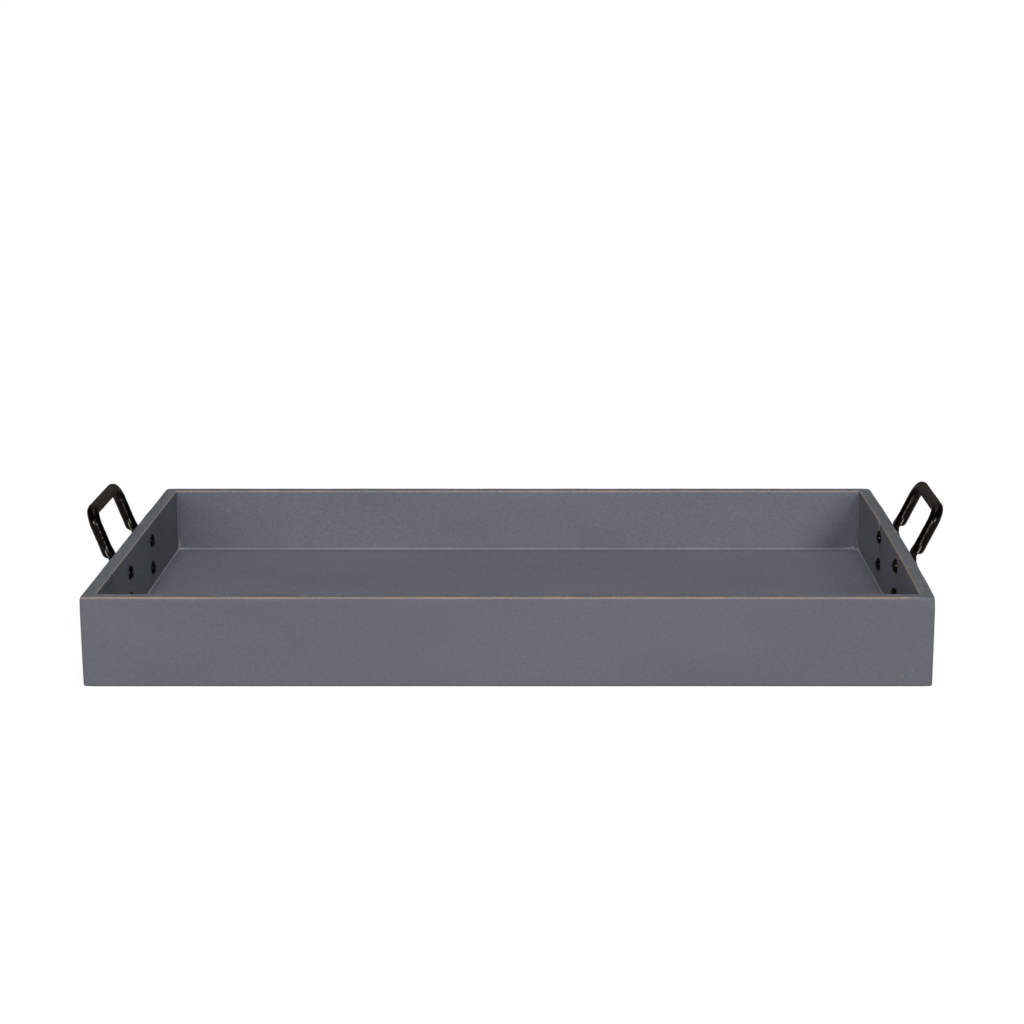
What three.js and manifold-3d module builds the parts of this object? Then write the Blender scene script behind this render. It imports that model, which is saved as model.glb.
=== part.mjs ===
// A painted wooden serving tray with two forged iron handles.
// Millimetres, +Z up. The origin is the middle of the tray on the surface that it stands on.
// X runs along the length, from handle to handle, and -Y is the front.

import * as THREE from 'three';
import { mergeVertices } from 'three/addons/utils/BufferGeometryUtils.js';
import Module from 'manifold-3d';

// Box of four boards, measured outside
const LENGTH = 711;
const DEPTH = 418;
const HEIGHT = 77.5;
const BOARD_THICKNESS = 12;
const ARRIS_RADIUS = 1.5; // sanded edges
const MITRE_GLUE_LINE = 0.3;

// Base panel and the groove that holds it
const PANEL_THICKNESS = 6;
const PANEL_UNDERSIDE = 11; // above the table
const GROOVE_DEPTH = 6;
const GROOVE_FIT = 0.3; // over and under the panel
const PANEL_SLACK = 0.5; // between the panel's edge and the groove's bottom

// Forged handles: a round bar with its two ends hammered flat
const BAR_DIAMETER = 10.8;
const LEG_SPACING = 108; // between the legs' middles
const CORNER_RADIUS = 13; // on the bar's axis
const FOOT_WIDTH = 15;
const FOOT_THICKNESS = 4.5;
const FOOT_EDGE_RADIUS = 1.2;
const FOOT_TIP = 10; // from the lower rivet to the foot's rounded end
const BEND_RADIUS = 14; // of the side on the wall
const SEAT_GAP = 0.3; // between faces that lie on each other

// Distances along the bar from the upper rivet
const BEND_RISE = 14; // where the leg leaves the wall
const SHOULDER_FOOT_RISE = 13; // where the flat foot ends
const SHOULDER_BAR_RISE = 18; // where the bar has its full thickness
const FLARE_RISE = 25; // where the bar has its full roundness

// The two ends are fitted by hand and differ a little: how high the rivets sit about the wall's middle, how far
// the handle leans from upright (degrees), where along the bar the grip's axis is, how far the board has sprung
// out at its middle, and which rivets slipped from their rows.
const ENDS = {
  left: {
    facing: -1,
    lift: 0.85,
    lean: 20.3,
    grip: 56.8,
    bow: 0,
    slips: { front_upper: -3, front_lower: -1.5 },
  },
  right: { facing: 1, lift: 3.95, lean: 25.9, grip: 57.9, bow: 2, slips: {} },
};

// Rivets through the feet and the end boards
const RIVET_PITCH = 26; // from the lower to the upper one
const RIVET_SHANK_DIAMETER = 5.5;
const RIVET_FIT = 0.3; // round the shank
const RIVET_HEAD_DIAMETER = 12.5; // domed head inside the tray
const RIVET_HEAD_HEIGHT = 3.2;
const PEENED_HEAD_DIAMETER = 9.5; // hammered over outside
const PEENED_HEAD_HEIGHT = 1.5;

// Headless brads across the mitres
const BRADS_PER_CORNER = 3;
const BRAD_DIAMETER = 1.2;
const BRAD_LENGTH = 30;
const BRAD_SET = 1.5; // below the face, under filler and paint
const BRAD_FIT = 0.3;
const BRAD_EDGE_MARGIN = 10; // from the panel's groove, and from the rim

// Facets
const ARRIS_STEPS = 3;
const BOW_STEPS = 8;
const SECTION_STEPS = 4; // in each corner of the bar's section
const BEND_STEPS = 4;
const SHOULDER_STEPS = 5;
const CORNER_STEPS = 6;
const TIP_STEPS = 4;
const RIVET_SIDES = 12;
const DOME_STEPS = 4;
const HOLE_SIDES = 16;
const BRAD_SIDES = 8;
const RING_LEAST_STEP = 0.3; // closer rings along the bar become one
const CUT_PAST = 1; // a cutter's length beyond the face that it opens
const WELD = 1e-5; // corners of facets closer than this are one point

// Worked out from these
const GROOVE_BOTTOM = PANEL_UNDERSIDE - GROOVE_FIT;
const GROOVE_TOP = PANEL_UNDERSIDE + PANEL_THICKNESS + GROOVE_FIT;
const PANEL_REACH = BOARD_THICKNESS - GROOVE_DEPTH + PANEL_SLACK; // from the outer face to the panel's edge
const WALL_MIDDLE = (PANEL_UNDERSIDE + PANEL_THICKNESS + HEIGHT) / 2; // of the wall seen inside
const RIVET_COLUMNS = { front: -LEG_SPACING / 2, rear: LEG_SPACING / 2 };
const RIVET_ROWS = { upper: 0, lower: -RIVET_PITCH }; // from the upper rivet
const BRAD_LOWEST = GROOVE_TOP + BRAD_EDGE_MARGIN;
const BRAD_STEP = (HEIGHT - BRAD_EDGE_MARGIN - BRAD_LOWEST) / Math.max(BRADS_PER_CORNER - 1, 1);
const BRAD_HEIGHTS = Array.from({ length: BRADS_PER_CORNER }, (_, i) => BRAD_LOWEST + i * BRAD_STEP);

const upperRivet = (end) => WALL_MIDDLE + end.lift + RIVET_PITCH / 2;
const leanOf = (end) => THREE.MathUtils.degToRad(end.lean);
const bendStart = (end) => BEND_RISE - BEND_RADIUS * Math.tan(leanOf(end) / 2);
const bowAt = (end, y) => end.bow * (1 - (2 * y / DEPTH) ** 2);

// Every rivet of an end: its name, where it is along the board, seen with x pointing out, and its height.
const rivetPlaces = (end) =>
  Object.entries(RIVET_COLUMNS).flatMap(([column, y]) =>
    Object.entries(RIVET_ROWS).map(([row, rise]) => {
      const name = `${column}_${row}`;
      return { name, y: end.facing * y, z: upperRivet(end) + rise + (end.slips[name] ?? 0) };
    }),
  );

const wasm = await Module();
wasm.setup();

// A closed geometry as a solid that can be cut.
function solidOf(geometry) {
  const bare = geometry.clone();
  bare.deleteAttribute('normal');
  bare.deleteAttribute('uv');
  const merged = mergeVertices(bare, WELD);
  return new wasm.Manifold(
    new wasm.Mesh({
      numProp: 3,
      vertProperties: new Float32Array(merged.attributes.position.array),
      triVerts: new Uint32Array(merged.index.array),
    }),
  );
}

// The geometry with every cutter taken away.
function cut(geometry, cutters) {
  let solid = solidOf(geometry);
  for (const cutter of cutters) solid = solid.subtract(solidOf(cutter));
  const { vertProperties, triVerts } = solid.getMesh();
  const result = new THREE.BufferGeometry();
  result.setAttribute('position', new THREE.BufferAttribute(vertProperties, 3));
  result.setIndex(new THREE.BufferAttribute(triVerts, 1));
  result.computeVertexNormals();
  return result;
}

// A round bar between two points.
function rod(diameter, from, to, sides) {
  const geometry = new THREE.CylinderGeometry(diameter / 2, diameter / 2, from.distanceTo(to), sides);
  const direction = to.clone().sub(from).normalize();
  const turn = new THREE.Quaternion().setFromUnitVectors(new THREE.Vector3(0, 1, 0), direction);
  const middle = from.clone().lerp(to, 0.5);
  return geometry.applyQuaternion(turn).translate(middle.x, middle.y, middle.z);
}

// Board section: x from the outer face inwards, y up, with eased arrises and the panel's groove.
function boardSection() {
  const r = ARRIS_RADIUS;
  const t = BOARD_THICKNESS;
  const section = new THREE.Shape();
  section.moveTo(r, 0);
  section.lineTo(t - r, 0);
  section.absarc(t - r, r, r, -Math.PI / 2, 0);
  section.lineTo(t, GROOVE_BOTTOM);
  section.lineTo(t - GROOVE_DEPTH, GROOVE_BOTTOM);
  section.lineTo(t - GROOVE_DEPTH, GROOVE_TOP);
  section.lineTo(t, GROOVE_TOP);
  section.lineTo(t, HEIGHT - r);
  section.absarc(t - r, HEIGHT - r, r, 0, Math.PI / 2);
  section.lineTo(r, HEIGHT);
  section.absarc(r, HEIGHT - r, r, Math.PI / 2, Math.PI);
  section.lineTo(0, r);
  section.absarc(r, r, r, Math.PI, 1.5 * Math.PI);
  return section;
}

// A board with mitred ends: x along it, y from the outer face inwards, z up.
function mitredBoard(length, steps = 1) {
  const geometry = new THREE.ExtrudeGeometry(boardSection(), {
    depth: 1,
    steps,
    bevelEnabled: false,
    curveSegments: ARRIS_STEPS,
  });
  const place = geometry.attributes.position;
  const half = length / 2 - MITRE_GLUE_LINE * Math.SQRT1_2;
  for (let i = 0; i < place.count; i++) {
    const inward = place.getX(i);
    const along = 2 * place.getZ(i) - 1;
    place.setXYZ(i, along * (half - inward), inward, place.getY(i));
  }
  return geometry;
}

// An end board that has sprung outwards between its corners.
function sprungBoard(end) {
  const geometry = mitredBoard(DEPTH, BOW_STEPS);
  const place = geometry.attributes.position;
  for (let i = 0; i < place.count; i++) place.setY(i, place.getY(i) - bowAt(end, place.getX(i)));
  return geometry;
}

// What sanding takes off an outer corner of the box, from the table to the rim.
function cornerWaste(length, end) {
  const r = ARRIS_RADIUS;
  const x = length / 2;
  const waste = new THREE.Shape();
  waste.moveTo(end * (x - r), -CUT_PAST);
  waste.lineTo(end * (x + CUT_PAST), -CUT_PAST);
  waste.lineTo(end * (x + CUT_PAST), r);
  waste.lineTo(end * x, r);
  waste.absarc(end * (x - r), r, r, end > 0 ? 0 : Math.PI, 1.5 * Math.PI, end > 0);
  const geometry = new THREE.ExtrudeGeometry(waste, {
    depth: HEIGHT + 2 * CUT_PAST,
    bevelEnabled: false,
    curveSegments: ARRIS_STEPS,
  });
  return geometry.translate(0, 0, -CUT_PAST);
}

const cornerWastes = (length) => [1, -1].map((end) => cornerWaste(length, end));

// Front and rear board: the brads go in through its face, near each end.
function longBoard() {
  const bore = BRAD_DIAMETER + 2 * BRAD_FIT;
  const bores = [];
  for (const end of [1, -1]) {
    const x = end * (LENGTH / 2 - BOARD_THICKNESS / 2);
    for (const z of BRAD_HEIGHTS) {
      const from = new THREE.Vector3(x, BRAD_SET - BRAD_FIT, z);
      const to = new THREE.Vector3(x, BOARD_THICKNESS + CUT_PAST, z);
      bores.push(rod(bore, from, to, BRAD_SIDES));
    }
  }
  return cut(mitredBoard(LENGTH), [...cornerWastes(LENGTH), ...bores]);
}

// End board: the brads run on into its ends, and the rivets pass through it.
function endBoard(end) {
  const bradBore = BRAD_DIAMETER + 2 * BRAD_FIT;
  const rivetBore = RIVET_SHANK_DIAMETER + 2 * RIVET_FIT;
  const bores = [];
  for (const corner of [1, -1]) {
    for (const z of BRAD_HEIGHTS) {
      const deepest = corner * (DEPTH / 2 - BRAD_SET - BRAD_LENGTH - BRAD_FIT);
      const from = new THREE.Vector3(deepest, BOARD_THICKNESS / 2, z);
      const to = new THREE.Vector3(corner * (DEPTH / 2 + CUT_PAST), BOARD_THICKNESS / 2, z);
      bores.push(rod(bradBore, from, to, BRAD_SIDES));
    }
  }
  for (const { y, z } of rivetPlaces(end)) {
    const from = new THREE.Vector3(y, -CUT_PAST - end.bow, z);
    const to = new THREE.Vector3(y, BOARD_THICKNESS + CUT_PAST, z);
    bores.push(rod(rivetBore, from, to, HOLE_SIDES));
  }
  return cut(sprungBoard(end), [...cornerWastes(DEPTH), ...bores]);
}

// The floor of the tray, held all round in the boards' groove.
function basePanel() {
  return new THREE.BoxGeometry(LENGTH - 2 * PANEL_REACH, DEPTH - 2 * PANEL_REACH, PANEL_THICKNESS);
}

// Handle section: a rectangle with round corners, a full circle where the bar is round.
// Each corner's points stand half a step in from its ends, so the sides between them stay flat.
function barSection(width, thickness, edge) {
  const points = [];
  for (let corner = 0; corner < 4; corner++) {
    const across = corner === 0 || corner === 3 ? 1 : -1;
    const out = corner < 2 ? 1 : -1;
    for (let i = 0; i < SECTION_STEPS; i++) {
      const angle = ((corner + (i + 0.5) / SECTION_STEPS) * Math.PI) / 2;
      points.push([
        across * (width / 2 - edge) + edge * Math.cos(angle),
        out * (thickness / 2 - edge) + edge * Math.sin(angle),
      ]);
    }
  }
  return points;
}

// Size of the bar at a distance along it from the upper rivet: foot, shoulder, flare and round bar.
function barSize(rise) {
  const spread = THREE.MathUtils.smoothstep(rise, SHOULDER_FOOT_RISE, FLARE_RISE);
  const shoulder = THREE.MathUtils.smoothstep(rise, SHOULDER_FOOT_RISE, SHOULDER_BAR_RISE);
  const tip = THREE.MathUtils.clamp((rise + RIVET_PITCH + FOOT_TIP) / (FOOT_WIDTH / 2), 0, 1);
  const rounding = Math.sqrt(1 - (1 - tip) ** 2);
  const width = THREE.MathUtils.lerp(FOOT_WIDTH, BAR_DIAMETER, spread) * rounding;
  const thickness = THREE.MathUtils.lerp(FOOT_THICKNESS, BAR_DIAMETER, shoulder);
  const edge = THREE.MathUtils.lerp(FOOT_EDGE_RADIUS, BAR_DIAMETER / 2, shoulder);
  return { width, thickness, edge: Math.min(edge, width / 2, thickness / 2) };
}

// Where the handle's wall side runs: up the wall, round the bend, then straight along the lean.
function spineAt(rise, end) {
  const start = bendStart(end);
  const along = rise - start;
  const angle = THREE.MathUtils.clamp(along / BEND_RADIUS, 0, leanOf(end));
  const straight = along - angle * BEND_RADIUS;
  return {
    angle,
    out: SEAT_GAP + BEND_RADIUS * (1 - Math.cos(angle)) + straight * Math.sin(angle),
    up: upperRivet(end) + start + BEND_RADIUS * Math.sin(angle) + straight * Math.cos(angle),
  };
}

// Distances along a leg, from the foot's tip to the corner, that its shape needs.
function legRises(end) {
  const tip = -RIVET_PITCH - FOOT_TIP;
  const bendLength = BEND_RADIUS * leanOf(end);
  const rises = [];
  for (let i = 1; i <= TIP_STEPS; i++) {
    rises.push(tip + (FOOT_WIDTH / 2) * (1 - Math.cos((i / TIP_STEPS) * (Math.PI / 2))));
  }
  for (let i = 0; i <= BEND_STEPS; i++) rises.push(bendStart(end) + (i / BEND_STEPS) * bendLength);
  for (let i = 0; i <= SHOULDER_STEPS; i++) {
    rises.push(THREE.MathUtils.lerp(SHOULDER_FOOT_RISE, SHOULDER_BAR_RISE, i / SHOULDER_STEPS));
  }
  rises.push((SHOULDER_BAR_RISE + FLARE_RISE) / 2, FLARE_RISE, end.grip - CORNER_RADIUS);
  const sorted = rises.sort((a, b) => a - b);
  return sorted.filter((rise, i) => i === 0 || rise - sorted[i - 1] > RING_LEAST_STEP);
}

// One ring of points round the bar. Its frame is made of the way the bar runs and the way that faces out.
function ring(middle, ahead, out, size) {
  const across = new THREE.Vector3().crossVectors(out, ahead);
  return barSection(size.width, size.thickness, size.edge).map(([x, y]) =>
    middle.clone().addScaledVector(across, x).addScaledVector(out, y),
  );
}

// Rings from the front foot's tip up to the middle of the grip.
function halfHandle(end) {
  const rings = [];
  for (const rise of legRises(end)) {
    const { angle, out, up } = spineAt(rise, end);
    const size = barSize(rise);
    const ahead = new THREE.Vector3(Math.sin(angle), 0, Math.cos(angle));
    const outward = new THREE.Vector3(Math.cos(angle), 0, -Math.sin(angle));
    const middle = new THREE.Vector3(out, -LEG_SPACING / 2, up).addScaledVector(outward, size.thickness / 2);
    rings.push(ring(middle, ahead, outward, size));
  }
  const { angle, out, up } = spineAt(end.grip - CORNER_RADIUS, end);
  const size = barSize(end.grip);
  const leg = new THREE.Vector3(Math.sin(angle), 0, Math.cos(angle));
  const outward = new THREE.Vector3(Math.cos(angle), 0, -Math.sin(angle));
  const along = new THREE.Vector3(0, 1, 0);
  const legTop = new THREE.Vector3(out, -LEG_SPACING / 2, up).addScaledVector(outward, BAR_DIAMETER / 2);
  for (let i = 1; i <= CORNER_STEPS; i++) {
    const turn = ((i / CORNER_STEPS) * Math.PI) / 2;
    const ahead = leg.clone().multiplyScalar(Math.cos(turn)).addScaledVector(along, Math.sin(turn));
    const middle = legTop
      .clone()
      .addScaledVector(leg, CORNER_RADIUS * Math.sin(turn))
      .addScaledVector(along, CORNER_RADIUS * (1 - Math.cos(turn)));
    rings.push(ring(middle, ahead, outward, size));
  }
  return rings;
}

// A closed skin over a row of rings.
function loft(rings) {
  const sides = rings[0].length;
  const points = rings.flat();
  const triangles = [];
  for (let k = 0; k + 1 < rings.length; k++) {
    for (let i = 0; i < sides; i++) {
      const a = k * sides + i;
      const b = k * sides + ((i + 1) % sides);
      triangles.push(a, b, b + sides, a, b + sides, a + sides);
    }
  }
  const last = (rings.length - 1) * sides;
  for (let i = 1; i + 1 < sides; i++) {
    triangles.push(0, i + 1, i);
    triangles.push(last, last + i, last + i + 1);
  }
  const geometry = new THREE.BufferGeometry().setFromPoints(points);
  geometry.setIndex(triangles);
  return geometry;
}

// A handle on the outside of its end board: x out from the board's face, y along it, z up.
function handleGeometry(end) {
  const front = halfHandle(end);
  const mirrored = (point) => new THREE.Vector3(point.x, -point.y, point.z);
  const rear = front.map((points) => points.map(mirrored)).reverse();
  const holes = rivetPlaces(end).map(({ y, z }) => {
    const from = new THREE.Vector3(SEAT_GAP - CUT_PAST, y, z);
    const to = new THREE.Vector3(SEAT_GAP + FOOT_THICKNESS + CUT_PAST, y, z);
    return rod(RIVET_SHANK_DIAMETER + 2 * RIVET_FIT, from, to, HOLE_SIDES);
  });
  return cut(loft([...front, ...rear]), holes);
}

// Half the outline of a domed head, from its rim to its crown.
function dome(diameter, seat, height) {
  const points = [];
  for (let i = 0; i <= DOME_STEPS; i++) {
    const angle = ((i / DOME_STEPS) * Math.PI) / 2;
    points.push(new THREE.Vector2((diameter / 2) * Math.cos(angle), seat + height * Math.sin(angle)));
  }
  points[DOME_STEPS].x = 0;
  return points;
}

// A rivet on the line through the board and the foot, turned about y, with y = 0 on the board's outer face.
function rivetGeometry() {
  const inside = -BOARD_THICKNESS - SEAT_GAP;
  const outside = SEAT_GAP + FOOT_THICKNESS + SEAT_GAP;
  const shank = RIVET_SHANK_DIAMETER / 2;
  return new THREE.LatheGeometry(
    [
      ...dome(RIVET_HEAD_DIAMETER, inside, -RIVET_HEAD_HEIGHT).reverse(),
      new THREE.Vector2(shank, inside),
      new THREE.Vector2(shank, outside),
      ...dome(PEENED_HEAD_DIAMETER, outside, PEENED_HEAD_HEIGHT),
    ],
    RIVET_SIDES,
  );
}

const finish = (color, roughness, metalness) => () =>
  new THREE.MeshStandardMaterial({ color, roughness, metalness });
const greyPaint = finish('#6a6b74', 0.55, 0);
const greyFloor = finish('#5e616a', 0.6, 0);
const forgedIron = finish('#17120f', 0.38, 0.85);
const brightWire = finish('#a5a6a8', 0.4, 1);

// A mesh with its name and a material of its own.
function named(name, geometry, material) {
  const mesh = new THREE.Mesh(geometry, material());
  mesh.name = name;
  return mesh;
}

// The two long boards. The rear one is the front one turned half round.
function frontAndRear() {
  const boards = new THREE.Group();
  for (const [name, side] of [['front', -1], ['rear', 1]]) {
    const board = named(`${name}_board`, longBoard(), greyPaint);
    board.position.y = (side * DEPTH) / 2;
    board.rotation.z = side < 0 ? 0 : Math.PI;
    boards.add(board);
  }
  return boards;
}

// A handle and its rivets, standing on the end board's outer face, with x pointing out.
function ironwork(name, end) {
  const iron = new THREE.Group();
  iron.add(named(`${name}_handle`, handleGeometry(end), forgedIron));
  for (const place of rivetPlaces(end)) {
    const rivet = named(`${name}_rivet_${place.name}`, rivetGeometry(), forgedIron);
    rivet.position.set(0, place.y, place.z);
    rivet.rotation.z = -Math.PI / 2;
    iron.add(rivet);
  }
  iron.position.x = bowAt(end, LEG_SPACING / 2);
  return iron;
}

// One end of the tray, with x pointing out from the corners of its end board.
function trayEnd(name, end) {
  const group = new THREE.Group();
  const board = named(`${name}_end_board`, endBoard(end), greyPaint);
  board.rotation.z = Math.PI / 2;
  group.add(board, ironwork(name, end));
  group.rotation.z = end.facing > 0 ? 0 : Math.PI;
  group.position.x = (end.facing * LENGTH) / 2;
  return group;
}

// Brads at each corner, one above the other, driven in from the front and the rear.
function cornerBrads() {
  const brads = new THREE.Group();
  for (const [level, z] of BRAD_HEIGHTS.entries()) {
    for (const [frontRear, y] of [['front', -1], ['rear', 1]]) {
      for (const [side, x] of [['left', -1], ['right', 1]]) {
        const radius = BRAD_DIAMETER / 2;
        const wire = new THREE.CylinderGeometry(radius, radius, BRAD_LENGTH, BRAD_SIDES);
        const brad = named(`${frontRear}_${side}_brad_${level + 1}`, wire, brightWire);
        brad.position.x = (x * (LENGTH - BOARD_THICKNESS)) / 2;
        brad.position.y = y * (DEPTH / 2 - BRAD_SET - BRAD_LENGTH / 2);
        brad.position.z = z;
        brads.add(brad);
      }
    }
  }
  return brads;
}

const tray = new THREE.Group();
const panel = named('base_panel', basePanel(), greyFloor);
panel.position.z = PANEL_UNDERSIDE + PANEL_THICKNESS / 2;
tray.add(frontAndRear(), panel, cornerBrads());
for (const [name, end] of Object.entries(ENDS)) tray.add(trayEnd(name, end));

export default tray;
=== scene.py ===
import math

import bmesh
import bpy
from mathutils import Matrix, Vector, noise


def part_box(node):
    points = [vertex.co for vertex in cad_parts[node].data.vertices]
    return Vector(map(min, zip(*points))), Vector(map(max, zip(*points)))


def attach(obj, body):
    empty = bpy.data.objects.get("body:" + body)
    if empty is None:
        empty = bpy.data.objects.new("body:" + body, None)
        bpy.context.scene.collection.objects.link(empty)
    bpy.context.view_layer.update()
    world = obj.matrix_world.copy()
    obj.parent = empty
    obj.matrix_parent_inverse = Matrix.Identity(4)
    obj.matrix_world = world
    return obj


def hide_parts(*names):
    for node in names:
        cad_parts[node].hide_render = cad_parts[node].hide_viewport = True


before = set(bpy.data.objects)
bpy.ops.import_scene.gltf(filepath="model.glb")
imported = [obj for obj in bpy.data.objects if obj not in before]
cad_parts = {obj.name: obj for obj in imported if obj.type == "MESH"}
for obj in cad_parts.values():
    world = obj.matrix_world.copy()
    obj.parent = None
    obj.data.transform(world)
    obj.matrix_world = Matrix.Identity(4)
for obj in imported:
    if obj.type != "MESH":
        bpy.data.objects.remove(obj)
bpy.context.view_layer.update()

mm = 0.001


# Shared helpers

def toLinear(hexColour):
    parts = [int(hexColour[i:i + 2], 16) / 255 for i in (1, 3, 5)]
    return tuple(p / 12.92 if p <= 0.04045 else ((p + 0.055) / 1.055) ** 2.4 for p in parts) + (1.0,)


# inputs: socket name or number -> a value, or the output socket to link from
def addNode(tree, kind, inputs=None, **settings):
    node = tree.nodes.new(kind)
    for name, value in settings.items():
        setattr(node, name, value)
    for socket, value in (inputs or {}).items():
        if isinstance(value, bpy.types.NodeSocket):
            tree.links.new(value, node.inputs[socket])
        else:
            node.inputs[socket].default_value = value
    return node


def newMaterial(name):
    material = bpy.data.materials.new(name)
    material.use_nodes = True
    tree = material.node_tree
    tree.nodes.clear()
    return material, tree


def addPiece(name, mesh, material=None):
    piece = bpy.data.objects.new(name, mesh)
    bpy.context.scene.collection.objects.link(piece)
    if material:
        mesh.materials.append(material)
    return piece


creaseAngle = math.radians(35)      # arrises sharper than this stay sharp


# the shape becomes a mesh that is smooth between its arrises
def smoothMesh(name, shape):
    mesh = bpy.data.meshes.new(name)
    shape.to_mesh(mesh)
    shape.free()
    mesh.shade_smooth()
    mesh.set_sharp_from_angle(angle=creaseAngle)
    return mesh


# a piece rides on the tray and stands for CAD nodes, which are hidden
def settle(piece, slot, *nodes):
    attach(piece, "root")
    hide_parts(*nodes)


def wobble(x, y, z, size):
    return noise.noise(Vector((x, y, z)) / size)


def smooth(low, high, value):
    share = min(max((value - low) / (high - low), 0.0), 1.0)
    return share * share * (3 - 2 * share)


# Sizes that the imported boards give

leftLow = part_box("left_end_board")[0]
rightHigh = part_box("right_end_board")[1]
frontLow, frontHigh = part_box("front_board")
panelLow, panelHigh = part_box("base_panel")
halfLength = -leftLow.x
halfDepth = -frontLow.y
rimHeight = frontHigh.z
boardThick = frontHigh.y - frontLow.y
rightBow = rightHigh.x - halfLength
innerX = halfLength - boardThick
innerY = halfDepth - boardThick


def bowAt(y):
    return rightBow * (1 - (y / halfDepth) ** 2)


def nodeMiddle(node):
    low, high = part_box(node)
    return (low + high) / 2


# Materials

# single chips knocked off the paint or the lacquer: place, reach, colour and how much of it shows
def chip(place, reach, colour, share):
    return Vector(place) * mm, Vector(reach) * mm, colour, share


def addChips(tree, place, colour, look):
    for middle, reach, key, share in look["chips"]:
        offset = addNode(tree, "ShaderNodeVectorMath", {0: place, 1: middle}, operation="SUBTRACT")
        scaled = addNode(tree, "ShaderNodeVectorMath", {0: offset.outputs[0], 1: reach}, operation="DIVIDE")
        away = addNode(tree, "ShaderNodeVectorMath", {0: scaled.outputs[0]}, operation="LENGTH")
        shown = addNode(tree, "ShaderNodeMapRange", {
            "Value": away.outputs["Value"], "From Min": 0.5, "From Max": 1.0, "To Min": share, "To Max": 0.0})
        colour = addNode(tree, "ShaderNodeMix", {0: shown.outputs[0], 6: colour, 7: toLinear(look[key])},
                         data_type="RGBA").outputs[2]
    return colour


# Pine, brushed with satin water-based paint and sanded through at the edges: even blue grey with faint long
# streaks of grain, a soft sheen, and a tan line of bare wood along the worn arrises.
paintLook = {
    "paintDark": "#5e5f68",
    "paintLight": "#74757f",
    "rimGrey": "#65686d",
    "rimShare": 1.0,
    "undercoat": "#9a9794",
    "wood": "#c2a07c",
    "woodDark": "#9c7a56",
    "chipWood": "#a35f2c",
    "shine": 0.13,
    "roughness": (0.5, 0.62),
    "grainWidth": 0.8 * mm,   # drawn coarser than real pores so that it shows
    "grainStretch": 2.5,
    "toneRange": (0.32, 0.68),
    "grainShare": 0.7,        # the rest of the tone is clouds
    "cloudSize": 60 * mm,
    "speckSize": 1.1 * mm,
    "speckFrom": (0.72, 0.84),
    "speckShare": 0.2,
    "rimFrom": (0.6, 0.95),   # how far up a face looks before it counts as rim
    "scuffSize": 9 * mm,
    "scuffFrom": (0.52, 0.72),
    "scuffShare": 0.4,
    "raggedness": 0.5,        # how much the fibres break up the sanding
    "paleFrom": (0.76, 0.9),  # how much sanding shows the undercoat
    "paleShare": 0.6,
    "bareFrom": (0.88, 1.0),  # and how much shows the wood
    "grainDepth": 0.07 * mm,
    "grainBump": 0.5,
    "chips": (),
}


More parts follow.
